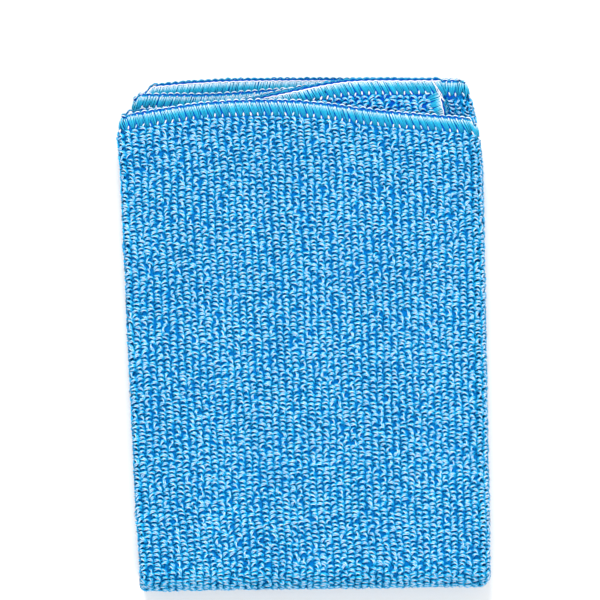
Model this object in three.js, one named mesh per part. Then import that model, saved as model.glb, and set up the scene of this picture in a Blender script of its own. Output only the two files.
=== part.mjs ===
// A square cloth of terry microfibre, folded in three along its length and then in half.
// It lies flat on Z = 0, with the half fold towards -Y and its hemmed ends towards +Y.
// The side flaps of the first fold lie inside, so six layers show at the hemmed end.
// Millimetres, +Z up, and the origin is under the middle of the packet.

import * as THREE from 'three';

// Thickness of the cloth, its pile included, as halves measured from its middle
const TERRY_HALF = 1.05;
const HEM_HALF = 0.8;
const EDGE_HALF = 0.35;

// Distances in from a free edge at which the hem rounds, runs flat and rises to the terry
const HEM_STEPS = [0, 0.5, 1.6, 4.4, 6];
const HEM_HALVES = [EDGE_HALF, 0.65, HEM_HALF, HEM_HALF, TERRY_HALF];
const HEM_REACH = HEM_STEPS[HEM_STEPS.length - 1];

// The layers of one half of the packet, as depths in from its outer panel
const PITCH = 2.4;
const OVER_DEPTH = PITCH;
const UNDER_DEPTH = 2 * PITCH;
const HALF_STACK = 2.5 * PITCH;
const MIDDLE_Z = HALF_STACK + TERRY_HALF;

// The half fold runs across the packet and leans a little
const TURN_MIDDLE_Y = -68.1;
const TURN_LEAN = 0.0136;

// Lines that run up the packet, as X at some places along Y. left and right are the centres of
// the rounds of the side folds, over and under are the free edges of the upper and lower flap.
const FRONT_LINES = [
  { y: 76, left: -52.0, right: 47.6, over: 40.2, under: -47.5 },
  { y: 64, left: -52.1, right: 47.8, over: 42.6, under: -46.5 },
  { y: 58, left: -53.0, right: 48.6, over: 43.3, under: -45.5 },
  { y: 49, left: -52.1, right: 49.5, over: 44.0, under: -44.5 },
  { y: -52, left: -47.4, right: 51.3, over: 47.6, under: -44.0 },
  { y: -68, left: -46.1, right: 51.6, over: 48.0, under: -44.0 },
];
const BACK_LINES = [
  { y: 76, left: -48.6, right: 44.6, over: 44.5, under: -48.5 },
  { y: 70, left: -48.8, right: 46.1, over: 45.2, under: -48.5 },
  { y: 64, left: -48.7, right: 47.6, over: 45.8, under: -48.5 },
  { y: 0, left: -47.3, right: 50.0, over: 46.8, under: -47.0 },
  { y: -68, left: -46.1, right: 51.6, over: 48.0, under: -44.0 },
];

// How far up each layer reaches, at five even places: the panel from left to right, and each
// flap from its fold to its free edge
const FRONT_HEMS = {
  panel: [65.3, 68.9, 69.3, 66.4, 64.3],
  over: [66.2, 66.6, 71.4, 75.4, 75.8],
  under: [63.0, 67.0, 70.5, 68.0, 65.5],
};
const BACK_HEMS = {
  panel: [73.9, 75.6, 76.0, 75.9, 75.6],
  over: [71.5, 71.5, 73.0, 73.5, 73.0],
  under: [75.5, 75.4, 74.0, 69.5, 67.0],
};

// How far the hems are drawn down near the side folds, and how wide that shows: at the panel's
// left and right end, and on each flap. They rise again over a short way.
const CORNER_POWER = 6;
const FRONT_CORNERS = {
  left: { drop: 1.0, reach: 2.0 },
  over: { drop: 1.0, reach: 2.0 },
  under: { drop: 1.0, reach: 2.5 },
  right: { drop: 1.8, reach: 2.5 },
};
const BACK_CORNERS = {
  left: { drop: 3.6, reach: 4.9 },
  over: { drop: 2.0, reach: 1.7 },
  under: { drop: 0.6, reach: 2.0 },
  right: { drop: 0.6, reach: 2.0 },
};

// Lengths round one section: each flap without its side hem, the panel, and half of each fold
const FLAP_LENGTH = 89.5;
const PANEL_LENGTH = 100.5;
const LEFT_FOLD_HALF = (Math.PI * OVER_DEPTH) / 4;
const RIGHT_FOLD_HALF = (Math.PI * UNDER_DEPTH) / 4;

// The stack settles towards its thin hems, and swells and dips a little elsewhere
const SETTLE = 0.2;
const SETTLE_FROM_Y = 28;
const SETTLE_TO_Y = 76;
const SWELL = 0.03;
const SWELL_LENGTH_X = 17;
const SWELL_LENGTH_Y = 23;

// Steps of the surface's grid. The rows lie closer together towards the hems.
const FLAP_STEPS = 8;
const PANEL_STEPS = 11;
const RIGHT_FOLD_STEPS = 8;
const LEFT_FOLD_STEPS = 6;
const CORNER_SHARES = [0.02, 0.05];
const BODY_ROWS = 11;
const BODY_ROW_EASE = 1.4;
const TURN_ROWS = 10;

const TERRY_BLUE = 0x4aa0e0;
const { lerp, smoothstep } = THREE.MathUtils;

// The row of a table of lines at some Y, between its nearest two rows
function linesAt(table, y) {
  let below = 1;
  while (below < table.length - 1 && table[below].y > y) {
    below += 1;
  }
  const upper = table[below - 1];
  const lower = table[below];
  const share = THREE.MathUtils.clamp((upper.y - y) / (upper.y - lower.y), 0, 1);
  const row = {};
  for (const name of ['left', 'right', 'over', 'under']) {
    row[name] = lerp(upper[name], lower[name], share);
  }
  return row;
}

// A smooth curve through evenly spaced heights, read at a share of its length
function heightAt(heights, share) {
  const last = heights.length - 1;
  const place = share * last;
  const i = Math.min(Math.floor(place), last - 1);
  const t = place - i;
  const before = i > 0 ? heights[i - 1] : 2 * heights[0] - heights[1];
  const after = i + 2 <= last ? heights[i + 2] : 2 * heights[last] - heights[last - 1];
  const slopeIn = (heights[i + 1] - before) / 2;
  const slopeOut = (after - heights[i]) / 2;
  const rise = heights[i + 1] - heights[i];
  const cubic = slopeIn + slopeOut - 2 * rise;
  const square = 3 * rise - 2 * slopeIn - slopeOut;
  return heights[i] + t * (slopeIn + t * (square + t * cubic));
}

// Half the thickness of the cloth at a distance in from its nearest free edge
function halfAt(inset) {
  for (let i = 1; i < HEM_STEPS.length; i += 1) {
    if (inset <= HEM_STEPS[i]) {
      const share = (inset - HEM_STEPS[i - 1]) / (HEM_STEPS[i] - HEM_STEPS[i - 1]);
      return lerp(HEM_HALVES[i - 1], HEM_HALVES[i], share);
    }
  }
  return TERRY_HALF;
}

// Points along one section of the threefold, from the lower flap's free edge round the right
// fold, across the panel and round the left fold to the upper flap's free edge. share runs from
// a flap's fold to its free edge, across the panel, or round a fold.
function sectionPoints() {
  const points = HEM_STEPS.map((inset) => ({ on: 'under', inset, share: 1 }));
  for (let i = 1; i < FLAP_STEPS; i += 1) {
    points.push({ on: 'under', share: 1 - i / FLAP_STEPS });
  }
  const nearer = [...CORNER_SHARES].reverse();
  points.push(...nearer.map((share) => ({ on: 'under', share })));
  for (let i = 0; i <= RIGHT_FOLD_STEPS; i += 1) {
    points.push({ on: 'rightFold', share: i / RIGHT_FOLD_STEPS });
  }
  points.push(...CORNER_SHARES.map((share) => ({ on: 'panel', share: 1 - share })));
  for (let i = 1; i < PANEL_STEPS; i += 1) {
    points.push({ on: 'panel', share: 1 - i / PANEL_STEPS });
  }
  points.push(...nearer.map((share) => ({ on: 'panel', share })));
  for (let i = 0; i <= LEFT_FOLD_STEPS; i += 1) {
    points.push({ on: 'leftFold', share: i / LEFT_FOLD_STEPS });
  }
  points.push(...CORNER_SHARES.map((share) => ({ on: 'over', share })));
  for (let i = 1; i < FLAP_STEPS; i += 1) {
    points.push({ on: 'over', share: i / FLAP_STEPS });
  }
  for (const inset of [...HEM_STEPS].reverse()) {
    points.push({ on: 'over', inset, share: 1 });
  }
  return points;
}

// Places along the length, from the front hems down, round the half fold and up to the back hems
function lengthRows() {
  const rows = HEM_STEPS.map((inset) => ({ half: 'front', inset }));
  const shares = [];
  for (let i = 1; i < BODY_ROWS; i += 1) {
    shares.push((i / BODY_ROWS) ** BODY_ROW_EASE);
  }
  rows.push(...shares.map((share) => ({ half: 'front', share })));
  for (let i = 0; i <= TURN_ROWS; i += 1) {
    rows.push({ half: 'turn', angle: (Math.PI * i) / TURN_ROWS });
  }
  rows.push(...shares.reverse().map((share) => ({ half: 'back', share })));
  for (const inset of [...HEM_STEPS].reverse()) {
    rows.push({ half: 'back', inset });
  }
  return rows;
}

// How far the hem is drawn down at a distance from the outermost point of a fold
function drawn({ drop, reach }, away) {
  return drop * Math.exp(-((away / reach) ** CORNER_POWER));
}

function cornerDrop(corners, { on, share }) {
  const leftAway = Math.abs(2 * share - 1) * LEFT_FOLD_HALF;
  const rightAway = Math.abs(2 * share - 1) * RIGHT_FOLD_HALF;
  switch (on) {
    case 'leftFold':
      return lerp(drawn(corners.left, leftAway), drawn(corners.over, leftAway), share);
    case 'rightFold':
      return lerp(drawn(corners.under, rightAway), drawn(corners.right, rightAway), share);
    case 'over':
      return drawn(corners.over, share * FLAP_LENGTH + LEFT_FOLD_HALF);
    case 'under':
      return drawn(corners.under, share * FLAP_LENGTH + RIGHT_FOLD_HALF);
    default:
      return (
        drawn(corners.left, share * PANEL_LENGTH + LEFT_FOLD_HALF) +
        drawn(corners.right, (1 - share) * PANEL_LENGTH + RIGHT_FOLD_HALF)
      );
  }
}

// The height that the cloth reaches at a point of the section
function hemHeight(hems, corners, point) {
  const drop = cornerDrop(corners, point);
  if (point.on === 'rightFold') {
    return lerp(hems.under[0], hems.panel[hems.panel.length - 1], point.share) - drop;
  }
  if (point.on === 'leftFold') {
    return lerp(hems.panel[0], hems.over[0], point.share) - drop;
  }
  return heightAt(hems[point.on], point.share) - drop;
}

// Where a point of the section lies, as X and depth, with the cloth's normal there
function sectionPlace(point, lines) {
  const inset = point.inset ?? HEM_REACH;
  if (point.on === 'under') {
    const foot = lines.under + inset;
    const x = 'inset' in point ? foot : lerp(lines.right, foot, point.share);
    return { x, depth: UNDER_DEPTH, nx: 0, nd: 1 };
  }
  if (point.on === 'over') {
    const foot = lines.over - inset;
    const x = 'inset' in point ? foot : lerp(lines.left, foot, point.share);
    return { x, depth: OVER_DEPTH, nx: 0, nd: 1 };
  }
  if (point.on === 'panel') {
    return { x: lerp(lines.left, lines.right, point.share), depth: 0, nx: 0, nd: -1 };
  }
  const angle = Math.PI * point.share;
  const sine = Math.sin(angle);
  const cosine = Math.cos(angle);
  if (point.on === 'rightFold') {
    const radius = UNDER_DEPTH / 2;
    return { x: lines.right + radius * sine, depth: radius + radius * cosine, nx: sine, nd: cosine };
  }
  const radius = OVER_DEPTH / 2;
  return { x: lines.left - radius * sine, depth: radius - radius * cosine, nx: -sine, nd: -cosine };
}

function turnY(x) {
  return TURN_MIDDLE_Y + TURN_LEAN * x;
}

// The height of the stack eases down towards the hems and undulates a little
function settled(x, y, z) {
  const settle = 1 - SETTLE * smoothstep(y, SETTLE_FROM_Y, SETTLE_TO_Y);
  const swell = 1 + SWELL * Math.sin(x / SWELL_LENGTH_X + 0.6) * Math.cos(y / SWELL_LENGTH_Y - 0.4);
  return z * settle * swell;
}

// A point of the cloth's surface: side is 1 on one face and -1 on the other
function surfacePoint(point, row, side) {
  const onBack = row.half === 'back';
  const corners = onBack ? BACK_CORNERS : FRONT_CORNERS;
  const hemY = hemHeight(onBack ? BACK_HEMS : FRONT_HEMS, corners, point);
  const turn = turnY(0);
  const flatY = 'inset' in row ? hemY - row.inset : lerp(hemY - HEM_REACH, turn, row.share ?? 1);
  const place = sectionPlace(point, linesAt(onBack ? BACK_LINES : FRONT_LINES, flatY));
  const half = halfAt(Math.min(point.inset ?? HEM_REACH, row.inset ?? HEM_REACH));
  const x = place.x + side * half * place.nx;
  const reach = HALF_STACK - (place.depth + side * half * place.nd);
  const leant = (turnY(x) - turn) * ('inset' in row ? 0 : row.share ?? 1);
  const angle = row.angle ?? (onBack ? Math.PI : 0);
  const y = flatY + leant - reach * Math.sin(angle);
  const z = MIDDLE_Z + reach * Math.cos(angle);
  return [x, y, settled(x, y, z)];
}

// One closed surface: a grid on each face of the cloth, joined along its four free edges
function foldedCloth() {
  const section = sectionPoints();
  const rows = lengthRows();
  const across = section.length;
  const perFace = across * rows.length;
  const positions = [];
  for (const side of [1, -1]) {
    for (const row of rows) {
      for (const point of section) {
        positions.push(...surfacePoint(point, row, side));
      }
    }
  }
  const indices = [];
  const quad = (a, b, c, d) => indices.push(a, b, c, a, c, d);
  for (let i = 0; i + 1 < rows.length; i += 1) {
    for (let j = 0; j + 1 < across; j += 1) {
      const a = i * across + j;
      const b = a + across;
      quad(a, a + 1, b + 1, b);
      quad(a + perFace, b + perFace, b + 1 + perFace, a + 1 + perFace);
    }
  }
  for (let j = 0; j + 1 < across; j += 1) {
    const end = (rows.length - 1) * across + j;
    quad(j + 1, j, j + perFace, j + 1 + perFace);
    quad(end, end + 1, end + 1 + perFace, end + perFace);
  }
  for (let i = 0; i + 1 < rows.length; i += 1) {
    const a = i * across;
    const b = a + across;
    const c = a + across - 1;
    const d = c + across;
    quad(a, b, b + perFace, a + perFace);
    quad(d, c, c + perFace, d + perFace);
  }
  const geometry = new THREE.BufferGeometry();
  geometry.setAttribute('position', new THREE.Float32BufferAttribute(positions, 3));
  geometry.setIndex(indices);
  geometry.computeVertexNormals();
  return geometry;
}

const terry = new THREE.MeshStandardMaterial({ color: TERRY_BLUE, roughness: 0.95, metalness: 0 });
const cloth = new THREE.Mesh(foldedCloth(), terry);
cloth.name = 'cloth';

const part = new THREE.Group();
part.name = 'folded_microfiber_cloth';
part.add(cloth);

export default part;
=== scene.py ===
"""A square terry microfibre cloth, folded in three and then in half, lying flat on a pale floor."""

import math

import bpy
import numpy as np
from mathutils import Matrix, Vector


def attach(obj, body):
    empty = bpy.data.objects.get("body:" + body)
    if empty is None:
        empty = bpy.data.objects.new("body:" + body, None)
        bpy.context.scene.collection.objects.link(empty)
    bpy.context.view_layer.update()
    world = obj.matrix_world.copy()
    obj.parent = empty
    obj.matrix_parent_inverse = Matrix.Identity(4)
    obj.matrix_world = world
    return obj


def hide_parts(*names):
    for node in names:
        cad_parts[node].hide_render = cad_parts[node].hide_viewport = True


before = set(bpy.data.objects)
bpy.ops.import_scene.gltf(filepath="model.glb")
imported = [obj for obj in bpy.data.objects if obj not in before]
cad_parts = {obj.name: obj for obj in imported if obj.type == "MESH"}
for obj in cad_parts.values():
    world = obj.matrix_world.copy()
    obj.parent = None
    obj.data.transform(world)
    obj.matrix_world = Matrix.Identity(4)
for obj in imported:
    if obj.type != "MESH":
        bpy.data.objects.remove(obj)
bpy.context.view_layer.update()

# Lengths are in millimetres until a mesh is made. The fold is the one that the solid holds.
MM = 0.001

# The layers of one half of the packet, as depths in from its outer panel. TERRY_HALF is half of
# a layer's thickness, and MIDDLE_Z the height of the packet's middle.
PITCH = 2.4
OVER_DEPTH = PITCH
UNDER_DEPTH = 2 * PITCH
HALF_STACK = 2.5 * PITCH
TERRY_HALF = 1.05
MIDDLE_Z = HALF_STACK + TERRY_HALF

# How far in from the rim the hem reaches, where the terry starts
HEM_REACH = 6.0

# The half fold runs across the packet and leans a little
TURN_MIDDLE_Y = -68.1
TURN_LEAN = 0.0136

# Lines that run up the packet, as X at some places along Y. left and right are the centres of
# the rounds of the side folds, over and under are the free edges of the upper and lower flap.
LINES = {
    "front": {
        "y": (-68, -52, 49, 58, 64, 76),
        "left": (-46.1, -47.4, -52.1, -53.0, -52.1, -52.0),
        "right": (51.6, 51.3, 49.5, 48.6, 47.8, 47.6),
        "over": (48.0, 47.6, 44.0, 43.3, 42.6, 40.2),
        "under": (-44.0, -44.0, -44.5, -45.5, -46.5, -47.5),
    },
    "back": {
        "y": (-68, 0, 64, 70, 76),
        "left": (-46.1, -47.3, -48.7, -48.8, -48.6),
        "right": (51.6, 50.0, 47.6, 46.1, 44.6),
        "over": (48.0, 46.8, 45.8, 45.2, 44.5),
        "under": (-44.0, -47.0, -48.5, -48.5, -48.5),
    },
}

# How far up each layer reaches, at five even places: the panel from left to right, and each
# flap from its fold to its free edge
HEMS = {
    "front": {
        "panel": (65.3, 68.9, 69.3, 66.4, 64.3),
        "over": (66.2, 66.6, 71.4, 75.4, 75.8),
        "under": (63.0, 67.0, 70.5, 68.0, 65.5),
    },
    "back": {
        "panel": (73.9, 75.6, 76.0, 75.9, 75.6),
        "over": (71.5, 71.5, 73.0, 73.5, 73.0),
        "under": (75.5, 75.4, 74.0, 69.5, 67.0),
    },
}

# The stack settles towards its thin hems, and swells and dips a little elsewhere
SETTLE = 0.2
SETTLE_FROM_Y = 28
SETTLE_TO_Y = 76
SWELL = 0.03
SWELL_LENGTH_X = 17
SWELL_LENGTH_Y = 23
SWELL_PHASE_X = 0.6
SWELL_PHASE_Y = -0.4

# The stretches of one section, from the lower flap's free edge to the upper flap's: the length
# of each, and the shares at which it starts and ends. A share past 1 is in the side hem.
FLAP_LENGTH = 89.5
PANEL_LENGTH = 100.5
BODY_LENGTH = 131.0
EDGE_SHARE = 1 + HEM_REACH / FLAP_LENGTH
STRETCHES = {
    "under": (FLAP_LENGTH + HEM_REACH, EDGE_SHARE, 0),
    "right_fold": (math.pi * UNDER_DEPTH / 2, 0, 1),
    "panel": (PANEL_LENGTH, 1, 0),
    "left_fold": (math.pi * OVER_DEPTH / 2, 0, 1),
    "over": (FLAP_LENGTH + HEM_REACH, 0, EDGE_SHARE),
}

# The knitted ground, which ends just inside the rim that its hem threads wrap. Its palette runs
# deeper than the pile's, painted shade between the loops, and it is painted deepest under the hems
# and on the flaps, as painted shade there. Its shade drifts a little across the cloth and its
# height on the palette along it.
GROUND_HALF = 0.25
GROUND_INSET = 0.45
GROUND_STEP_ACROSS = 3.2
GROUND_STEP_ALONG = 4.0
GROUND_TURN_STEPS = 16
GROUND_LEVEL = 0.4
GROUND_TONE = 0.35
GROUND_TONE_DRIFT = 0.3
GROUND_LEVEL_DRIFT = 0.1

# How far the hems are drawn down near the side folds, and how wide that shows: at the panel's
# left and right end, and on each flap. They rise again over a short way.
CORNER_POWER = 6
CORNERS = {
    "front": {"left": (1.0, 2.0), "over": (1.0, 2.0), "under": (1.0, 2.5), "right": (1.8, 2.5)},
    "back": {"left": (3.6, 4.9), "over": (2.0, 1.7), "under": (0.6, 2.0), "right": (0.6, 2.0)},
}

# The loops of the pile, which lean towards the front hem. Their rows start closer together at
# the hems than the mean, by this share.
COLUMN_PITCH = 2.1
ROW_PITCH = 1.2
ROW_EASE = 0.89
ROW_START = 0.15
REAR_ROW_PITCH = 1.5
LOOP_FEET = 1.5
LOOP_HEIGHT = 0.6
LOOP_FOOT_LIFT = 0.15
LOOP_SPREAD = 0.55
LOOP_LEAN = 1.0
LOOP_TAPER = 0.1
LOOP_CROWN_POWER = 0.85
LOOP_LEAN_POWER = 1.1
# Each loop's height on the palette, from its feet up to its crown: painted shade low in the pile,
# rising to a painted highlight on top
LOOP_FOOT_PAINTED_SHADE = 0.04
LOOP_PAINTED_HIGHLIGHT_RISE = 0.56

# How unevenly the loops stand. column and row are shares of a pitch, spin is in degrees, skew in
# millimetres, tone a part of the palette, and the rest are shares of the mean. WILD_SHARE of the
# loops turn by up to WILD_SPIN degrees more.
LOOP_JITTER = {
    "column": 0.07,
    "row": 0.12,
    "feet": 0.16,
    "height": 0.14,
    "lean": 0.2,
    "skew": 0.2,
    "spin": 22,
    "thickness": 0.07,
    "tone": 0.17,
}
WILD_SHARE = 0.22
WILD_SPIN = 70

# How far slow waves over the cloth shift, raise, turn and shade the loops, in the same units
LOOP_WAVES = {"shift": 0.35, "height": 0.14, "spin": 20, "tone": 0.14}

# The columns are nearly level at a hem: the share of their full offset that they have there, and
# the number of rows that would add a whole one
LEVEL_START = 0.3
LEVEL_ROWS = 6

# Columns of loops round each side fold, and rows of them round the half fold
FOLD_COLUMNS = (("right_fold", 5), ("left_fold", 3))
TURN_ROWS = 17

# Columns of loops beside the left fold that show deep in the packet's side, and their rows
# round the half fold
DEEP_COLUMNS = 3
DEEP_TURN_ROWS = 8

# How much thicker the loops get for each millimetre towards the half fold
LOOP_SWELL = 0.0014

# Each loop is two plies twisted together, one a little paler. Loops that hardly show are made
# as one thick thread.
PLY_RADIUS = 0.33
PLY_OFFSET = 0.22
PLY_SHADE = 0.06
PLY_SIDES = 3
PLY_TWIST = math.radians(280)

# The flaps' loops are pressed a little flatter than those outside
FLAP_TALL = 0.85

# Where loops show on the flaps past the hems above them: the flap, half and side, the columns
# from its fold and the rows from its hem
FRONT_FLAP_PATCHES = (("over", "front", -1, 44, 14),)
REAR_FLAP_PATCHES = (("under", "back", 1, 8, 14), ("over", "back", 1, 44, 3))

# Painted light: how much paler the pile is painted at the middle of each side fold
FOLD_PAINTED_LIGHT = 0.08

# The overlocked hem: five threads of each stitch fan out from the needle's hole to the rim.
# inset is the distance in from the rim, lift the distance from the cloth's middle. The middle of
# a stitch is raised by its crown, and the threads thin out by their taper towards the needle.
STITCH_PITCH = 2.1
HEM_SIDES = 4
THREAD_PLACES = (0.1, 0.3, 0.5, 0.7, 0.9)
THREAD_RADIUS = 0.235
THREAD_SLANT = 1.5
THREAD_FAN = 0.55
WRAP_INSET = (5.1, 3.8, 2.6, 1.5, 1.05)
WRAP_LIFT = (0.3, 0.53, 0.6, 0.48, 0.12)
# How pale each inset of a wrap is painted: a painted highlight on the band near the rim, painted
# shade lower on the band and in the pocket at the rim
WRAP_LIGHT_AND_SHADE = (0.3, 0.17, 0.42, 0.6, -0.2)
WRAP_CROWN = 0.25
WRAP_TAPER = 0.3
RIM_CORE = 1.5

# Arches of thread along the rim, pale on the cloth's outer face and deep on its inner face, where a
# pale thread runs along below them. Each arch is painted deeper towards its feet, as painted shade
# where they dive under, and palest at its crown, a painted highlight; the thread below is painted
# pale as a highlight.
PURL_RADIUS = 0.19
PURL_DEPTH = 0.55
PURL_LEVELS = {1: 0.75, -1: 0.05}
PURL_STEPS = 6
PURL_SPAN = 1.1
PURL_FOOT_LIFT = 0.08
PURL_RISE = 0.36
PURL_RISE_POWER = 0.6
PURL_TONE = 0.55
PURL_FOOT_SHARE = 0.2
PURL_LEVEL_POWER = 0.7
CORD_INSET = 1.2
CORD_LIFT = 0.6
CORD_RADIUS = 0.17
CORD_WAVE = 0.1
CORD_STEPS = 3
CORD_TONE = 0.7
CORD_PAINTED_HIGHLIGHT = 0.85

# The needle thread's own stitches, painted pale: the thread with painted highlights
NEEDLE_INSET = (4.15, 4.5, 4.95, 5.3)
NEEDLE_LIFT = (0.6, 0.9, 0.85, 0.5)
NEEDLE_RADIUS = (0.12, 0.23, 0.25, 0.12)
NEEDLE_LEVEL = 0.4

# A bead of thread just inside each arch of the rim's outer face, slanting along the rim by its
# drift, in stitches. Each is painted pale, a painted highlight.
BEAD_INSET = (1.05, 1.25, 1.5)
BEAD_LIFT = (0.5, 0.72, 0.72)
BEAD_RADIUS = 0.17
BEAD_DRIFT = -0.12
BEAD_PAINTED_HIGHLIGHT = 0.35

# How unevenly the hem's threads lie. spot, run and skew are shares of a stitch, tone and level
# parts of the palette, a cord's or needle's or bead's inset is in millimetres, and the rest are
# shares of the mean.
WRAP_JITTER = {"spot": 0.035, "run": 0.03, "inset": 0.02, "radius": 0.1, "tone": 0.26}
PURL_JITTER = {"run": 0.05, "rise": 0.15, "radius": 0.1, "tone": 0.15}
CORD_JITTER = {"inset": 0.04}
NEEDLE_JITTER = {
    "run": 0.05,
    "skew": 0.08,
    "inset": 0.12,
    "lift": 0.1,
    "radius": 0.12,
    "tone": 0.2,
    "level": 0.18,
}
BEAD_JITTER = {"run": 0.08, "inset": 0.08, "radius": 0.15, "level": 0.2}

# The side hems show close to the ends of the cloth. Further on only the lower flap's does,
# deep in the packet's left side, and it has fewer, thicker threads.
SIDE_HEM_FROM = 4.0
SIDE_HEM_STITCHES = 8
DEEP_HEM_STITCHES = 53
DEEP_TURN_STITCHES = 2
DEEP_THREAD_PLACES = (0.25, 0.75)
DEEP_THREAD_RADIUS = 0.5

# The loose end of thread: how far in from the flap's free edge and down from its hem it starts
# and ends, and how far above the flap's middle it lies. Each strand waves sideways and up and
# down at its own rate and is out of phase with the last, both in radians.
TAIL_STRANDS = 3
TAIL_STEPS = 9
TAIL_SIDES = 5
TAIL_RADIUS = 0.1
TAIL_LEVEL = 0.4
TAIL_EDGE = (2.6, 0.4)
TAIL_DOWN = (0.6, 6.6)
TAIL_STAGGER = 0.3
TAIL_LIFT = 0.95
TAIL_PHASE = 2.1
TAIL_SIDE_WAVE = 0.25
TAIL_SIDE_RATE = 7
TAIL_LIFT_WAVE = 0.15
TAIL_LIFT_RATE = 9

# Where colours lie on the palette that every piece's UV map reads: a margin, the span that the
# shades fill, and how far one face spreads over it
PALETTE_EDGE = 0.04
PALETTE_SPAN = 0.89
PALETTE_SPREAD = 0.03
MIDDLE_TONE = 0.5

# Painted light and shade: how much paler a thread is painted on its outward side, and how much
# deeper on its inward side, than at its flanks
FACING_PAINTED_LIGHT = 0.36

# Steps that find directions on the cloth: outwards in millimetres, along a hem in stitches, and
# along the cloth as a share
OUT_STEP = 0.3
RUN_STEP = 0.01
SHARE_STEP = 1e-3

# Each group of loops or threads draws from its own seed, counted from this one
SEED = 20


def lerp(a, b, share):
    """The value at a share of the way from a to b."""
    return a + (b - a) * share


def lines_at(half, y):
    """X of each line that runs up the packet, at heights y."""
    table = LINES[half]
    return {name: np.interp(y, table["y"], table[name]) for name in table if name != "y"}


def height_at(heights, share):
    """A smooth curve through evenly spaced heights, read at a share of its length."""
    h = np.array(heights, float)
    h = np.concatenate([[2 * h[0] - h[1]], h, [2 * h[-1] - h[-2]]])
    place = np.asarray(share, float) * (len(heights) - 1)
    i = np.clip(np.floor(place).astype(int), 0, len(heights) - 2)
    t = place - i
    slope_in = (h[i + 2] - h[i]) / 2
    slope_out = (h[i + 3] - h[i + 1]) / 2
    rise = h[i + 2] - h[i + 1]
    cubic = slope_in + slope_out - 2 * rise
    square = 3 * rise - 2 * slope_in - slope_out
    return h[i + 1] + t * (slope_in + t * (square + t * cubic))


def corner_drop(half, on, share):
    """How far the hem is drawn down at a share of one stretch, near the side folds."""
    left = STRETCHES["left_fold"][0] / 2
    right = STRETCHES["right_fold"][0] / 2

    def drawn(corner, away):
        drop, width = CORNERS[half][corner]
        return drop * np.exp(-((away / width) ** CORNER_POWER))

    if on == "left_fold":
        away = np.abs(2 * share - 1) * left
        return lerp(drawn("left", away), drawn("over", away), share)
    if on == "right_fold":
        away = np.abs(2 * share - 1) * right
        return lerp(drawn("under", away), drawn("right", away), share)
    if on == "over":
        return drawn("over", share * FLAP_LENGTH + left)
    if on == "under":
        return drawn("under", share * FLAP_LENGTH + right)
    at_right = drawn("right", (1 - share) * PANEL_LENGTH + right)
    return drawn("left", share * PANEL_LENGTH + left) + at_right


def hem_height(half, on, share):
    """The height that the cloth reaches at a share of one stretch of the section."""
    hems = HEMS[half]
    share = np.clip(share, 0, 1)
    if on == "right_fold":
        height = lerp(hems["under"][0], hems["panel"][-1], share)
    elif on == "left_fold":
        height = lerp(hems["panel"][0], hems["over"][0], share)
    else:
        height = height_at(hems[on], share)
    return height - corner_drop(half, on, share)


def section_place(on, lines, share, edge):
    """X and depth of a point of the section, with the cloth's normal there. A flap's point is
    given by its share of the way from the fold, or by its distance in from the free edge."""
    if on == "panel":
        return lerp(lines["left"], lines["right"], share), 0.0, 0.0, -1.0
    if on in ("under", "over"):
        fold, inward = ("right", 1) if on == "under" else ("left", -1)
        foot = lines[on] + inward * HEM_REACH
        x = lerp(lines[fold], foot, share) if edge is None else lines[on] + inward * edge
        return x, UNDER_DEPTH if on == "under" else OVER_DEPTH, 0.0, 1.0
    sine = np.sin(math.pi * share)
    cosine = np.cos(math.pi * share)
    if on == "right_fold":
        radius = UNDER_DEPTH / 2
        return lines["right"] + radius * sine, radius + radius * cosine, sine, cosine
    radius = OVER_DEPTH / 2
    return lines["left"] - radius * sine, radius - radius * cosine, -sine, -cosine


def settled(x, y, z):
    """The height of the stack eases down towards the hems and undulates a little."""
    t = np.clip((y - SETTLE_FROM_Y) / (SETTLE_TO_Y - SETTLE_FROM_Y), 0, 1)
    settle = 1 - SETTLE * t * t * (3 - 2 * t)
    ripple = np.sin(x / SWELL_LENGTH_X + SWELL_PHASE_X) * np.cos(y / SWELL_LENGTH_Y + SWELL_PHASE_Y)
    return z * settle * (1 + SWELL * ripple)


def surface(on, half, lift=0.0, share=None, edge=None, row=None, hem=None, angle=None):
    """Points of the folded cloth. Across, share or edge says where on the stretch; along, row is
    the share of the way from the hem's terry to the half fold, hem the distance in from the hem,
    and angle the place round the half fold. lift is the distance from the cloth's middle."""
    side = "back" if half == "back" else "front"
    top = hem_height(side, on, 1.0 if share is None else share)
    if half == "turn":
        flat_y, leaning = TURN_MIDDLE_Y + 0 * angle, 1.0
    elif hem is not None:
        flat_y, leaning = top - hem, 0.0
    else:
        flat_y, leaning = lerp(top - HEM_REACH, TURN_MIDDLE_Y, row), np.clip(row, 0, 1)
    x, depth, nx, nd = section_place(on, lines_at(side, flat_y), share, edge)
    x = x + lift * nx
    reach = HALF_STACK - depth - lift * nd
    if half != "turn":
        angle = math.pi if half == "back" else 0.0
    y = flat_y + TURN_LEAN * x * leaning - reach * np.sin(angle)
    z = MIDDLE_Z + reach * np.cos(angle)
    x, y, z = np.broadcast_arrays(x, y, z)
    return np.stack([x, y, settled(x, y, z)], -1)


def unit(v):
    """The same vectors, each with a length of 1."""
    return v / np.maximum(np.linalg.norm(v, axis=-1, keepdims=True), 1e-9)


def frames_on(on, half, side, share, along):
    """Places on one face of the cloth, each with its directions across, along and outwards.
    along is a row's share, or an angle on the half fold, and points back to the front hem."""
    name = "angle" if half == "turn" else "row"
    back = SHARE_STEP if half == "back" else -SHARE_STEP
    here = surface(on, half, share=share, **{name: along})
    ahead = surface(on, half, share=share, **{name: along + back})
    above = surface(on, half, lift=side * OUT_STEP, share=share, **{name: along})
    out = unit(above - here)
    ahead = unit(ahead - here)
    ahead = unit(ahead - out * (ahead * out).sum(-1, keepdims=True))
    return here, np.cross(ahead, out), ahead, out


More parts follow.
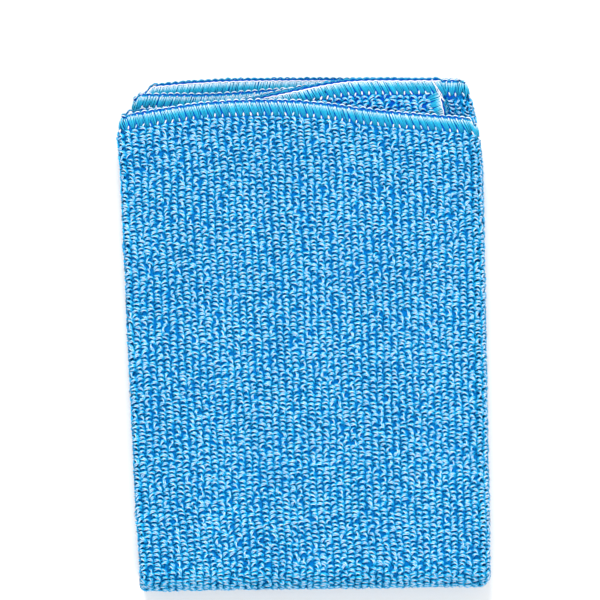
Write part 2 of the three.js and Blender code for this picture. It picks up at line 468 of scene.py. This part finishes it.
def new_piece(name, points, faces, uvs, material):
    """A smooth mesh. points are in millimetres. faces is a list of arrays, one for each number of
    corners, and uvs a list of arrays with a pair for each corner."""
    me = bpy.data.meshes.new(name)
    corners = np.concatenate([f.ravel() for f in faces]).astype(np.int32)
    sizes = np.concatenate([np.full(len(f), f.shape[1]) for f in faces])
    starts = np.concatenate([[0], np.cumsum(sizes)[:-1]]).astype(np.int32)
    me.vertices.add(len(points))
    me.vertices.foreach_set("co", (points * MM).ravel())
    me.loops.add(len(corners))
    me.loops.foreach_set("vertex_index", corners)
    me.polygons.add(len(starts))
    me.polygons.foreach_set("loop_start", starts)
    me.update(calc_edges=True)
    me.polygons.foreach_set("use_smooth", np.ones(len(starts), bool))
    layer = me.uv_layers.new(name="OFBake")
    layer.data.foreach_set("uv", np.concatenate([u.reshape(-1, 2) for u in uvs]).ravel())
    me.materials.append(material)
    piece = bpy.data.objects.new(name, me)
    bpy.context.scene.collection.objects.link(piece)
    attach(piece, "root")
    return piece


def palette_uv(tone, height):
    """Places on the colour palette, where a yarn's shade runs across and its height runs up, from
    painted shade to painted highlight.
    """
    u = PALETTE_EDGE + PALETTE_SPAN * np.clip(tone, 0, 1)
    v = PALETTE_EDGE + PALETTE_SPAN * np.clip(height, 0, 1)
    return np.stack(np.broadcast_arrays(u, v), -1)


def bundle(paths, radii, up, out, tone, level):
    """Threads with the same number of steps. Each has a path, a radius and a paleness at each
    step, which paints its light and shade, a direction up that it never follows, one that faces
    outwards, and a shade."""
    shape = paths.shape[:2]
    return {
        "paths": paths,
        "radii": np.broadcast_to(radii, shape),
        "up": up,
        "out": np.broadcast_to(out, paths.shape),
        "tone": np.broadcast_to(tone, shape[:1]),
        "level": np.broadcast_to(level, shape),
    }


def rounds(paths, up):
    """Two directions square to each step of some paths and to each other."""
    tangent = unit(np.gradient(paths, axis=1))
    one = up[:, None, :] - tangent * (tangent * up[:, None, :]).sum(-1, keepdims=True)
    one = unit(one)
    return one, np.cross(tangent, one)


def tubes(threads, sides, first):
    """Points, faces and palette places of a bundle's tubes, each closed at both ends. first is
    the number of points made before."""
    paths = threads["paths"]
    count, steps = paths.shape[:2]
    one, two = rounds(paths, threads["up"])
    turn = 2 * math.pi * np.arange(sides) / sides
    ring = one[:, :, None] * np.cos(turn)[:, None] + two[:, :, None] * np.sin(turn)[:, None]
    points = paths[:, :, None] + threads["radii"][:, :, None, None] * ring
    points[..., 2] = np.maximum(points[..., 2], 0)
    # Painted light and shade: paler where the thread faces out, deeper where it faces in
    facing = (ring * threads["out"][:, :, None]).sum(-1)
    height = threads["level"][:, :, None] + FACING_PAINTED_LIGHT * facing
    offset = first + np.arange(count)[:, None, None] * steps * sides

    def corners(step, side, spread):
        """Faces from the step and the side of each corner, with their palette places."""
        index = step * sides + side % sides
        uv = palette_uv(threads["tone"][:, None, None], height[:, step, side % sides])
        return (index + offset).reshape(-1, index.shape[1]), uv + PALETTE_SPREAD * spread

    k, i = np.meshgrid(np.arange(steps - 1), np.arange(sides), indexing="ij")
    step = np.stack([k, k, k + 1, k + 1], -1).reshape(-1, 4)
    side = np.stack([i, i + 1, i + 1, i], -1).reshape(-1, 4)
    walls, wall_uvs = corners(step, side, np.stack([side / sides, step / steps], -1))
    step = np.array([[0] * sides, [steps - 1] * sides])
    side = np.array([range(sides)[::-1], range(sides)])
    turned = 2 * math.pi * side / sides
    caps, cap_uvs = corners(step, side, np.stack([np.cos(turned), np.sin(turned)], -1))
    return points.reshape(-1, 3), (walls, caps), (wall_uvs, cap_uvs)


def thread_piece(name, material, sides, bundles):
    """A piece of many round threads."""
    points = []
    faces = []
    uvs = []
    for threads in bundles:
        made, made_faces, made_uvs = tubes(threads, sides, sum(len(p) for p in points))
        points.append(made)
        faces.extend(made_faces)
        uvs.extend(made_uvs)
    return new_piece(name, np.concatenate(points), faces, uvs, material)


def wave(x, y, seed):
    """A smooth, uneven field between about -1 and 1, with bumps some 15 to 40 mm apart."""
    a = np.sin(x / 4.9 + 1.7 * seed + 1.3 * np.sin(y / 9.7 + seed))
    b = np.sin(y / 6.1 - 0.9 * seed + 1.1 * np.sin(x / 7.9 - seed))
    c = np.sin((x + y) / 11.3 + 2.3 * seed) * np.cos((x - y) / 8.7 - seed)
    return (a + b + c) / 3


class Pile:
    """Loops gathered from patches of the cloth, then made into pieces."""

    def __init__(self, seed):
        self.rng = np.random.default_rng(seed)
        self.parts = []

    def patch(self, on, half, side, columns, rows, tall=1.0, pale=0.0):
        """Loops on a patch. columns are shares across, rows are shares along, or angles on the
        half fold. The columns start level at the hem and soon run out of step. pale is painted
        light added to the loops' paleness: one number, or one for each column."""
        rng = self.rng
        share, along = np.meshgrid(columns, rows, indexing="ij")
        across_step = abs(columns[1] - columns[0])
        row_step = rows[1] - rows[0]
        phase = rng.uniform(-0.5, 0.5, (len(columns), 1))
        if half != "turn":
            phase = phase * np.minimum(LEVEL_START + np.arange(len(rows)) / LEVEL_ROWS, 1)
        share = share + across_step * rng.normal(0, LOOP_JITTER["column"], share.shape)
        along = along + row_step * (phase + rng.normal(0, LOOP_JITTER["row"], along.shape))
        places = frames_on(on, half, side, share.ravel(), along.ravel())
        pale = np.broadcast_to(np.reshape(pale, (-1, 1)), share.shape).ravel()
        self.parts.append((*places, np.full(share.size, tall), pale))

    def loops(self, steps):
        """All the loops gathered so far, each one as a thick thread."""
        here, across, ahead, out, tall, pale = (np.concatenate(v) for v in zip(*self.parts))
        rng = self.rng
        n = len(here)
        x, y = here[:, 0], here[:, 1]
        jitter, waves = LOOP_JITTER, LOOP_WAVES
        here = here + across * (waves["shift"] * wave(x, y, 1.0))[:, None]
        t = np.linspace(0, 1, steps)
        feet = LOOP_FEET * rng.normal(1, jitter["feet"], (n, 1))
        height = LOOP_HEIGHT * tall[:, None] * rng.normal(1, jitter["height"], (n, 1))
        height = height * (1 + waves["height"] * wave(x, y, 2.0)[:, None])
        lean = LOOP_LEAN * rng.normal(1, jitter["lean"], (n, 1))
        arch = np.sin(math.pi * t)[None] ** LOOP_CROWN_POWER
        a = -feet / 2 * np.cos(math.pi * t)[None] * (1 + LOOP_SPREAD * arch)
        b = lean * (arch**LOOP_LEAN_POWER - 0.5)
        b = b + jitter["skew"] * rng.normal(0, 1, (n, 1)) * np.cos(math.pi * t)[None]
        c = LOOP_FOOT_LIFT + height * arch
        turned = rng.normal(0, jitter["spin"], (n, 1)) + waves["spin"] * wave(x, y, 3.0)[:, None]
        wild = rng.random((n, 1)) < WILD_SHARE
        spin = np.radians(turned) + wild * np.radians(rng.uniform(-WILD_SPIN, WILD_SPIN, (n, 1)))
        a, b = a * np.cos(spin) - b * np.sin(spin), a * np.sin(spin) + b * np.cos(spin)
        paths = (
            here[:, None]
            + a[:, :, None] * across[:, None]
            + b[:, :, None] * ahead[:, None]
            + c[:, :, None] * out[:, None]
        )
        up = ahead * np.cos(spin) - across * np.sin(spin)
        thick = rng.normal(1, jitter["thickness"], (n, 1)) * (1 - LOOP_TAPER + LOOP_TAPER * arch)
        thick = thick * (1 - LOOP_SWELL * y)[:, None]
        tone = MIDDLE_TONE + jitter["tone"] * rng.normal(0, 1, n) + waves["tone"] * wave(x, y, 4.0)
        # Painted shade at the loop's feet and a painted highlight at its crown, with the side
        # folds' painted light added
        level = LOOP_FOOT_PAINTED_SHADE + LOOP_PAINTED_HIGHLIGHT_RISE * arch + pale[:, None]
        return bundle(paths, (PLY_RADIUS + PLY_OFFSET) * thick, up, out[:, None], tone, level)

    def plied(self, loops):
        """The same loops, each one as two plies that twist round each other."""
        paths, radii, up = loops["paths"], loops["radii"], loops["up"]
        n, steps = radii.shape
        one, two = rounds(paths, up)
        turned = self.rng.uniform(0, 2 * math.pi, (n, 1)) + PLY_TWIST * np.linspace(0, 1, steps)
        off = one * np.cos(turned)[:, :, None] + two * np.sin(turned)[:, :, None]
        off = off * (radii * PLY_OFFSET / (PLY_RADIUS + PLY_OFFSET))[:, :, None]
        plies = {}
        for key, value in loops.items():
            plies[key] = np.repeat(value, 2, axis=0)
        plies["paths"] = np.stack([paths + off, paths - off], 1).reshape(2 * n, steps, 3)
        plies["radii"] = plies["radii"] * PLY_RADIUS / (PLY_RADIUS + PLY_OFFSET)
        plies["tone"] = plies["tone"] + np.tile([PLY_SHADE, -PLY_SHADE], n)
        return plies

    def make(self, name, material, steps, pieces=1, plies=True):
        """Makes the loops into some pieces of about the same size, and returns them."""
        loops = self.loops(steps)
        order = np.argsort(loops["paths"][:, 0, 1], kind="stable")
        loops = {key: value[order] for key, value in loops.items()}
        threads = self.plied(loops) if plies else loops
        made = []
        for i, part in enumerate(np.array_split(np.arange(len(threads["paths"])), pieces)):
            label = name if pieces == 1 else f"{name}_{i + 1}"
            chosen = {key: value[part] for key, value in threads.items()}
            made.append(thread_piece(label, material, PLY_SIDES, [chosen]))
        return made


def even(length, pitch, after=0):
    """Shares at the middles of even steps of about this pitch, with some more steps after the
    end."""
    count = max(round(length / pitch), 1)
    return (np.arange(count + after) + 0.5) / count


def fold_columns():
    """Each side fold with the shares of its columns of loops, and how much painted light each
    column gets.
    """
    for on, count in FOLD_COLUMNS:
        shares = even(count, 1)
        yield on, shares, FOLD_PAINTED_LIGHT * np.sin(math.pi * shares) ** 2


def pile_rows(pitch=ROW_PITCH):
    """Shares of the way from the hem's terry to the half fold, one for each row of loops."""
    count = round(BODY_LENGTH / pitch)
    place = (np.arange(count) + ROW_START) / (count + ROW_START - 0.5)
    return place * (ROW_EASE + (1 - ROW_EASE) * place)


def front_pile():
    """Loops all over the front panel."""
    pile = Pile(SEED)
    pile.patch("panel", "front", 1, even(PANEL_LENGTH, COLUMN_PITCH), pile_rows())
    return pile


def back_pile():
    """Loops all over the rear panel, which the packet lies on."""
    pile = Pile(SEED + 1)
    rows = pile_rows(REAR_ROW_PITCH)
    pile.patch("panel", "back", 1, even(PANEL_LENGTH, COLUMN_PITCH), rows)
    return pile


def fold_pile():
    """Loops round the front half's side folds and round the half fold."""
    pile = Pile(SEED + 2)
    turn_rows = even(math.pi, math.pi / TURN_ROWS) * math.pi
    for on, shares, pale in fold_columns():
        pile.patch(on, "front", 1, shares, pile_rows(), pale=pale)
        pile.patch(on, "turn", 1, shares, turn_rows, pale=pale)
    pile.patch("panel", "turn", 1, even(PANEL_LENGTH, COLUMN_PITCH), turn_rows)
    return pile


def back_fold_pile():
    """Loops round the rear half's side folds."""
    pile = Pile(SEED + 4)
    for on, shares, pale in fold_columns():
        pile.patch(on, "back", 1, shares, pile_rows(), pale=pale)
    return pile


def flap_pile(patches):
    """Loops where the inner layers show above the front panel's hem. Each patch is some columns
    from a flap's fold and some rows from its hem."""
    pile = Pile(SEED + 3)
    shares = even(FLAP_LENGTH, COLUMN_PITCH, after=1)
    for on, half, side, columns, rows in patches:
        pile.patch(on, half, side, shares[:columns], pile_rows()[:rows], tall=FLAP_TALL)
    return pile


def deep_pile():
    """Loops on the face of the upper flap that shows deep in the packet's left side."""
    pile = Pile(SEED + 8)
    shares = even(FLAP_LENGTH, COLUMN_PITCH)[:DEEP_COLUMNS]
    for half, rows in (
        ("front", pile_rows()),
        ("turn", even(math.pi, math.pi / DEEP_TURN_ROWS) * math.pi),
        ("back", pile_rows()),
    ):
        pile.patch("over", half, 1, shares, rows, tall=FLAP_TALL)
    return pile


def grid_quads(rows, columns, offset=0):
    """Quads between the points of a grid, counted row by row."""
    i, j = np.meshgrid(np.arange(rows - 1), np.arange(columns - 1), indexing="ij")
    a = (i * columns + j).ravel() + offset
    return np.stack([a, a + 1, a + columns + 1, a + columns], -1)


def section_stretches(pitch, inset):
    """The stretches of a whole section, each with its shares at about this pitch. Together they
    run from the lower flap's free edge to the upper flap's, and stop a little inside both."""
    short = inset / FLAP_LENGTH
    stretches = []
    for on, (length, first, last) in STRETCHES.items():
        first = first - short if first == EDGE_SHARE else first
        last = last - short if last == EDGE_SHARE else last
        count = max(round(length / pitch), 2)
        shares = np.linspace(first, last, count + 1)
        stretches.append((on, shares if on == "over" else shares[:-1]))
    return stretches


def along_rows():
    """Places along the cloth's length, from the front hem to the back hem, as the keywords that
    surface takes."""
    body = np.linspace(0, 1, round(BODY_LENGTH / GROUND_STEP_ALONG) + 1)
    hems = np.linspace(GROUND_INSET, HEM_REACH, 3)[:-1]
    rows = [("front", {"hem": inset}) for inset in hems]
    rows += [("front", {"row": share}) for share in body[:-1]]
    turn = np.linspace(0, math.pi, GROUND_TURN_STEPS + 1)
    rows += [("turn", {"angle": angle}) for angle in turn]
    rows += [("back", {"row": share}) for share in body[-2::-1]]
    rows += [("back", {"hem": inset}) for inset in hems[::-1]]
    return rows


def ground_piece(material):
    """The knitted ground under the loops: one closed sheet in six layers."""
    stretches = section_stretches(GROUND_STEP_ACROSS, GROUND_INSET)
    rows = along_rows()
    faces = []
    for side in (1, -1):
        for half, place in rows:
            lift = side * GROUND_HALF
            line = [surface(on, half, lift, share=s, **place) for on, s in stretches]
            faces.append(np.concatenate(line))
    columns = len(faces[0])
    points = np.concatenate(faces)
    count = len(rows)
    per_face = count * columns
    quads = [grid_quads(count, columns), grid_quads(count, columns, per_face)[:, ::-1]]
    j = np.arange(columns - 1)
    end = (count - 1) * columns + j
    quads.append(np.stack([j + 1, j, j + per_face, j + 1 + per_face], -1))
    quads.append(np.stack([end, end + 1, end + 1 + per_face, end + per_face], -1))
    i = np.arange(count - 1) * columns
    far = i + columns - 1
    quads.append(np.stack([i, i + columns, i + columns + per_face, i + per_face], -1))
    quads.append(np.stack([far + columns, far, far + per_face, far + columns + per_face], -1))
    quads = np.concatenate(quads)
    where = np.arange(len(points)) % per_face
    tone = (where % columns) / (columns - 1)
    along = where // columns
    # Painted shade: under the hems and on the flaps the ground sits at the bottom of the palette
    unshaded_rows = np.array(["hem" not in place for _, place in rows])
    unshaded_stretches = np.concatenate([np.full(len(s), on not in ("under", "over")) for on, s in stretches])
    height = GROUND_LEVEL * unshaded_rows[along] * unshaded_stretches[where % columns]
    tone = GROUND_TONE + GROUND_TONE_DRIFT * tone
    uv = palette_uv(tone, height + GROUND_LEVEL_DRIFT * along / count)
    return new_piece("ground", points, [quads], [uv[quads]], material)


class Hem:
    """Hem threads gathered from the rims of the cloth, then made into one piece."""

    def __init__(self, seed):
        self.rng = np.random.default_rng(seed)
        self.bundles = []
        self.drops = []

    def rim(self, stitches, place):
        """Adds a length of hem. place gives points from the number of stitches run along the
        rim, the distance in from it and the lift from the cloth's middle."""
        self.wraps(stitches, place)
        self.cord(stitches, place)
        self.beads(stitches, place)
        for side in (1, -1):
            self.purl(stitches, place, side)
            self.needle(stitches, place, side)

    def wraps(self, stitches, place, spots=THREAD_PLACES, radius=THREAD_RADIUS):
        """Threads that wrap the rim, from the needle line of one face to that of the other.
        spots are their places in each stitch."""
        rng = self.rng
        inset = np.concatenate([WRAP_INSET, WRAP_INSET[::-1]])
        lift = np.concatenate([WRAP_LIFT, -np.array(WRAP_LIFT[::-1])])
        # Painted highlight and painted shade across the band
        level = np.concatenate([WRAP_LIGHT_AND_SHADE, WRAP_LIGHT_AND_SHADE[::-1]])
        far = (inset - inset.min()) / (inset.max() - inset.min())
        fan = 1 - (1 - THREAD_FAN) * far**2
        slant = THREAD_SLANT / STITCH_PITCH * far * np.sign(lift)
        spot = np.add.outer(np.arange(stitches), np.array(spots) - 0.5).ravel()
        base = np.round(spot)
        n = len(spot)
        jitter = WRAP_JITTER
        off = (spot - base + rng.normal(0, jitter["spot"], n))[:, None]
        run = 0.5 + base[:, None] + off * fan - slant
        run = run + rng.normal(0, jitter["run"], (n, 1)) * far
        crown = 1 + WRAP_CROWN * np.cos(2 * math.pi * off)
        paths = place(run, inset * rng.normal(1, jitter["inset"], (n, 1)), lift * crown)
        up = unit(place(run + RUN_STEP, inset, lift * crown) - paths)[:, len(inset) // 2]
        core = place(run, np.maximum(inset, RIM_CORE), 0 * lift)
        radii = radius * rng.normal(1, jitter["radius"], (n, 1)) * (1 - WRAP_TAPER * far**3)
        tone = MIDDLE_TONE + rng.normal(0, jitter["tone"], n)
        self.bundles.append(bundle(paths, radii, up, unit(paths - core), tone, level))

    def purl(self, stitches, place, side):
        """Arches of thread that stand along the rim."""
        rng = self.rng
        jitter = PURL_JITTER
        t = np.linspace(0, 1, PURL_STEPS)
        arch = np.sin(math.pi * t)
        run = np.arange(stitches)[:, None] + 0.5 + (t - 0.5) * PURL_SPAN
        run = run + rng.normal(0, jitter["run"], (stitches, 1))
        rise = PURL_DEPTH * rng.normal(1, jitter["rise"], (stitches, 1))
        inset = PURL_RADIUS + PURL_DEPTH - rise * arch
        lift = side * (PURL_FOOT_LIFT + PURL_RISE * arch**PURL_RISE_POWER)
        paths = place(run, inset, lift)
        out = unit(place(run, inset, lift + side * OUT_STEP) - paths)
        radii = PURL_RADIUS * rng.normal(1, jitter["radius"], (stitches, 1))
        tone = PURL_TONE + rng.normal(0, jitter["tone"], stitches)
        # Painted shade towards the arch's feet, painted highlight at its crown
        share = PURL_FOOT_SHARE + (1 - PURL_FOOT_SHARE) * arch**PURL_LEVEL_POWER
        up = out[:, PURL_STEPS // 2]
        self.bundles.append(bundle(paths, radii, up, out, tone, PURL_LEVELS[side] * share))

    def cord(self, stitches, place):
        """One thread that runs along the inner face of the rim."""
        run = np.linspace(0, stitches, CORD_STEPS * stitches + 1)[None]
        inset = CORD_INSET + CORD_WAVE * np.sin(2 * math.pi * run)
        inset = inset + self.rng.normal(0, CORD_JITTER["inset"], run.shape)
        paths = place(run, inset, -CORD_LIFT)
        out = unit(place(run, inset, -CORD_LIFT - OUT_STEP) - paths)
        self.bundles.append(bundle(paths, CORD_RADIUS, out[:, 0], out, CORD_TONE, CORD_PAINTED_HIGHLIGHT))

    def needle(self, stitches, place, side):
        """The short stitches of the needle's thread."""
        rng = self.rng
        jitter = NEEDLE_JITTER
        run = np.arange(stitches)[:, None] + 0.5 + rng.normal(0, jitter["run"], (stitches, 1))
        skew = rng.normal(0, jitter["skew"], (stitches, 1))
        run = run + np.linspace(-1, 1, len(NEEDLE_INSET)) * skew
        inset = np.array(NEEDLE_INSET) + rng.normal(0, jitter["inset"], (stitches, 1))
        lift = side * np.array(NEEDLE_LIFT) * rng.normal(1, jitter["lift"], (stitches, 1))
        paths = place(run, inset, lift)
        up = unit(place(run + RUN_STEP, inset, lift) - paths)[:, 1]
        out = unit(place(run, inset, lift + side * OUT_STEP) - paths)
        radii = np.array(NEEDLE_RADIUS) * rng.normal(1, jitter["radius"], (stitches, 1))
        tone = MIDDLE_TONE + rng.normal(0, jitter["tone"], stitches)
        level = NEEDLE_LEVEL + rng.normal(0, jitter["level"], (stitches, 1))
        self.drops.append(bundle(paths, radii, up, out, tone, level))

    def beads(self, stitches, place):
        """The knots of the looper thread, as small beads along the rim's outer face, painted pale
        as highlights.
        """
        rng = self.rng
        jitter = BEAD_JITTER
        lift = np.array(BEAD_LIFT)
        run = np.arange(stitches)[:, None] + 0.5 + rng.normal(0, jitter["run"], (stitches, 1))
        run = run + np.linspace(0, BEAD_DRIFT, len(BEAD_INSET))
        inset = np.array(BEAD_INSET) + rng.normal(0, jitter["inset"], (stitches, 1))
        paths = place(run, inset, lift)
        up = unit(place(run + RUN_STEP, inset, lift) - paths)[:, 1]
        out = unit(place(run, inset, lift + OUT_STEP) - paths)
        radii = BEAD_RADIUS * rng.normal(1, jitter["radius"], (stitches, 1))
        level = BEAD_PAINTED_HIGHLIGHT + rng.normal(0, jitter["level"], (stitches, 1))
        self.drops.append(bundle(paths, radii, up, out, MIDDLE_TONE, level))

    def make(self, name, material):
        """Makes all the threads but the needle's and the beads, which are drops, into a piece."""
        return thread_piece(name, material, HEM_SIDES, self.bundles)


def end_hem(half):
    """The overlocked hem along one whole end of the cloth."""
    hem = Hem(SEED + (5 if half == "front" else 6))
    for on, (length, first, last) in STRETCHES.items():
        stitches = max(round(length / STITCH_PITCH), 1)

        def place(run, inset, lift):
            share = lerp(first, last, run / stitches)
            return surface(on, half, lift, share=share, hem=inset)

        hem.rim(stitches, place)
    return hem


def side_hems():
    """The overlocked hems of the flaps' free edges."""
    hem = Hem(SEED + 7)
    deep_from = SIDE_HEM_FROM + SIDE_HEM_STITCHES * STITCH_PITCH
    for on in ("over", "under"):
        for half in ("front", "back"):

            def place(run, inset, lift):
                down = SIDE_HEM_FROM + run * STITCH_PITCH
                return surface(on, half, lift, edge=inset, hem=down)

            hem.rim(SIDE_HEM_STITCHES, place)
    for half in ("front", "back"):

        def deep_place(run, inset, lift):
            down = deep_from + run * STITCH_PITCH
            return surface("under", half, lift, edge=inset, hem=down)

        hem.wraps(DEEP_HEM_STITCHES, deep_place, DEEP_THREAD_PLACES, DEEP_THREAD_RADIUS)

    def turn_place(run, inset, lift):
        angle = math.pi * run / DEEP_TURN_STITCHES
        return surface("under", "turn", lift, edge=inset, angle=angle)

    hem.wraps(DEEP_TURN_STITCHES, turn_place, DEEP_THREAD_PLACES, DEEP_THREAD_RADIUS)
    return hem


def thread_tail(material):
    """The end of the hem's threads, left loose at the upper flap's corner: some strands that
    wind round each other on their way down from the flap's hem along its free edge."""
    t = np.linspace(0, 1, TAIL_STEPS)
    up = np.array([[0.0, 0.0, 1.0]])
    bundles = []
    for i in range(TAIL_STRANDS):
        phase = TAIL_PHASE * i
        edge = lerp(*TAIL_EDGE, t) + TAIL_SIDE_WAVE * np.sin(TAIL_SIDE_RATE * t + phase)
        down = lerp(*TAIL_DOWN, t) + TAIL_STAGGER * i
        lift = -(TAIL_LIFT + TAIL_LIFT_WAVE * np.cos(TAIL_LIFT_RATE * t + phase))
        paths = surface("over", "front", lift, edge=edge, hem=down)[None]
        bundles.append(bundle(paths, TAIL_RADIUS, up, up[:, None], MIDDLE_TONE, TAIL_LEVEL))
    return thread_piece("thread_tail", material, TAIL_SIDES, bundles)


# Where a yarn's low, middle and high colours stand up the palette, from painted shade at the bottom
# towards painted highlight at the top, and the factors by which its shades change them across it
HEIGHT_STOPS = (0.08, 0.67, 0.89)
SHADES = ((0.05, (0.75, 0.85, 0.9)), (0.5, (1, 1, 1)), (0.95, (1.25, 1.1, 1.04)))
SHEEN_ROUGHNESS = 0.35
SHEEN_TINT = (0.75, 0.9, 1.0)

# Fine fibres in each yarn: how many to the metre, and how deep in millimetres
FIBRE_SCALE = 3000
FIBRE_DEPTH = 0.35


def ramp(nodes, stops, label):
    """A colour ramp with these places and colours."""
    node = nodes.new("ShaderNodeValToRGB")
    node.label = label
    elements = node.color_ramp.elements
    while len(elements) > 1:
        elements.remove(elements[-1])
    for i, (at, colour) in enumerate(stops):
        element = elements[0] if i == 0 else elements.new(at)
        element.position = at
        element.color = (*colour, 1)
    return node


def yarn_material(name, low, middle, high, roughness, specular, sheen):
    """Yarn painted deep near the ground and paler towards the top of each loop, painted shade
    below and a painted highlight above, a slightly different shade for each yarn, and fine fibres
    in the bump."""
    mat = bpy.data.materials.new(name)
    mat.use_nodes = True
    nodes, links = mat.node_tree.nodes, mat.node_tree.links
    shader = nodes["Principled BSDF"]
    shader.inputs["Roughness"].default_value = roughness
    shader.inputs["Specular IOR Level"].default_value = specular
    shader.inputs["Sheen Weight"].default_value = sheen
    shader.inputs["Sheen Roughness"].default_value = SHEEN_ROUGHNESS
    shader.inputs["Sheen Tint"].default_value = (*SHEEN_TINT, 1)
    uv = nodes.new("ShaderNodeUVMap")
    uv.uv_map = "OFBake"
    split = nodes.new("ShaderNodeSeparateXYZ")
    links.new(uv.outputs["UV"], split.inputs[0])
    depth = ramp(nodes, zip(HEIGHT_STOPS, (low, middle, high)), "height")
    links.new(split.outputs["Y"], depth.inputs["Fac"])
    shade = ramp(nodes, SHADES, "shade")
    links.new(split.outputs["X"], shade.inputs["Fac"])
    mix = nodes.new("ShaderNodeMix")
    mix.data_type = "RGBA"
    mix.blend_type = "MULTIPLY"
    mix.inputs["Factor"].default_value = 1
    links.new(depth.outputs["Color"], mix.inputs["A"])
    links.new(shade.outputs["Color"], mix.inputs["B"])
    links.new(mix.outputs["Result"], shader.inputs["Base Color"])
    coord = nodes.new("ShaderNodeTexCoord")
    fibres = nodes.new("ShaderNodeTexNoise")
    fibres.inputs["Scale"].default_value = FIBRE_SCALE
    fibres.inputs["Detail"].default_value = 3
    fibres.inputs["Roughness"].default_value = 0.7
    links.new(coord.outputs["Object"], fibres.inputs["Vector"])
    bump = nodes.new("ShaderNodeBump")
    bump.inputs["Strength"].default_value = 0.8
    bump.inputs["Distance"].default_value = FIBRE_DEPTH * MM
    links.new(fibres.outputs["Fac"], bump.inputs["Height"])
    links.new(bump.outputs["Normal"], shader.inputs["Normal"])
    return mat


def direction_to(place, target):
    """The rotation that points a lamp or camera from a place at a target."""
    return (Vector(target) - Vector(place)).to_track_quat("-Z", "Y").to_euler()


def floor():
    """A pale floor that reaches far past the view."""
    mat = bpy.data.materials.new("floor")
    mat.use_nodes = True
    shader = mat.node_tree.nodes["Principled BSDF"]
    shader.inputs["Base Color"].default_value = (0.9, 0.9, 0.9, 1)
    shader.inputs["Roughness"].default_value = 0.9
    me = bpy.data.meshes.new("floor")
    reach = 4.0
    corners = [(-reach, -reach, 0), (reach, -reach, 0), (reach, reach, 0), (-reach, reach, 0)]
    me.from_pydata(corners, [], [(0, 1, 2, 3)])
    me.materials.append(mat)
    plane = bpy.data.objects.new("floor", me)
    bpy.context.scene.collection.objects.link(plane)


# The light from all round, and each lamp's place, size and power in metres and watts
SKY_LIGHT = 0.55
LAMPS = (
    ("key", (-0.3, 1.5, 1.7), 0.9, 54.0),
    ("fill", (0.4, -0.6, 1.1), 0.9, 10.0),
)


def studio():
    """Soft light from all round, with a broad key lamp beyond the hems and a weaker fill."""
    world = bpy.data.worlds.new("studio")
    world.use_nodes = True
    sky = world.node_tree.nodes["Background"]
    sky.inputs["Color"].default_value = (1, 1, 1, 1)
    sky.inputs["Strength"].default_value = SKY_LIGHT
    bpy.context.scene.world = world
    for name, place, size, power in LAMPS:
        light = bpy.data.lights.new(name, "AREA")
        light.size = size
        light.energy = power
        lamp = bpy.data.objects.new(name, light)
        lamp.location = place
        lamp.rotation_euler = direction_to(place, (0, 0, 0))
        bpy.context.scene.collection.objects.link(lamp)
    bpy.context.scene.view_settings.view_transform = "Standard"


def camera():
    """Straight down, as in the photograph: 600 pixels of 0.294 mm across."""
    view_width = 0.1764
    middle = (-0.0011, 0.0101)
    distance = 2.5
    data = bpy.data.cameras.new("camera")
    data.sensor_width = 36
    data.lens = data.sensor_width * distance / view_width
    cam = bpy.data.objects.new("camera", data)
    cam.location = (*middle, distance + MIDDLE_Z * 2 * MM)
    bpy.context.scene.collection.objects.link(cam)
    bpy.context.scene.camera = cam


camera()
floor()
studio()

# The yarns' colours, from the deepest, painted shade, through the yarn's own blues, to the palest,
# painted highlights
NIGHT = (0.0, 0.08, 0.48)
DUSK = (0.0, 0.16, 0.42)
DEEP = (0.0, 0.225, 0.51)
SKY = (0.0, 0.515, 0.92)
BRIGHT = (0.015, 0.49, 0.73)
PALE_HIGHLIGHT = (1.0, 0.92, 0.95)
FOAM = (0.86, 0.89, 0.93)

# Each yarn's low, middle and high colours, then its roughness, specular level and sheen
pile_yarn = yarn_material("pile_yarn", NIGHT, SKY, PALE_HIGHLIGHT, 0.4, 0.15, 0.05)
ground_knit = yarn_material("ground_knit", NIGHT, DEEP, SKY, 0.8, 0.05, 0.0)
hem_thread = yarn_material("hem_thread", DUSK, BRIGHT, PALE_HIGHLIGHT, 0.4, 0.2, 0.05)
# The needle thread's palette runs paler than the hem's: its stitches and beads show painted
# highlights, and the loose tail is pale thread with painted highlights
needle_thread = yarn_material("needle_thread", SKY, PALE_HIGHLIGHT, FOAM, 0.4, 0.3, 0.05)

ground = ground_piece(ground_knit)
pieces = front_pile().make("pile_front", pile_yarn, steps=7, pieces=3)
pieces += back_pile().make("pile_back", pile_yarn, steps=5, plies=False)
pieces += fold_pile().make("pile_folds", pile_yarn, steps=6)
pieces += back_fold_pile().make("pile_back_folds", pile_yarn, steps=6)
pieces += flap_pile(FRONT_FLAP_PATCHES).make("pile_flap", pile_yarn, steps=7)
pieces += flap_pile(REAR_FLAP_PATCHES).make("pile_inner_flaps", pile_yarn, steps=6)
pieces += deep_pile().make("pile_deep", pile_yarn, steps=4, plies=False)
hems = {"hem_front": end_hem("front"), "hem_back": end_hem("back"), "hem_sides": side_hems()}
drops = []
for name, hem in hems.items():
    pieces.append(hem.make(name, hem_thread))
    drops += hem.drops
pieces.append(thread_piece("needle_stitches", needle_thread, HEM_SIDES, drops))
pieces.append(thread_tail(needle_thread))

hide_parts("cloth")
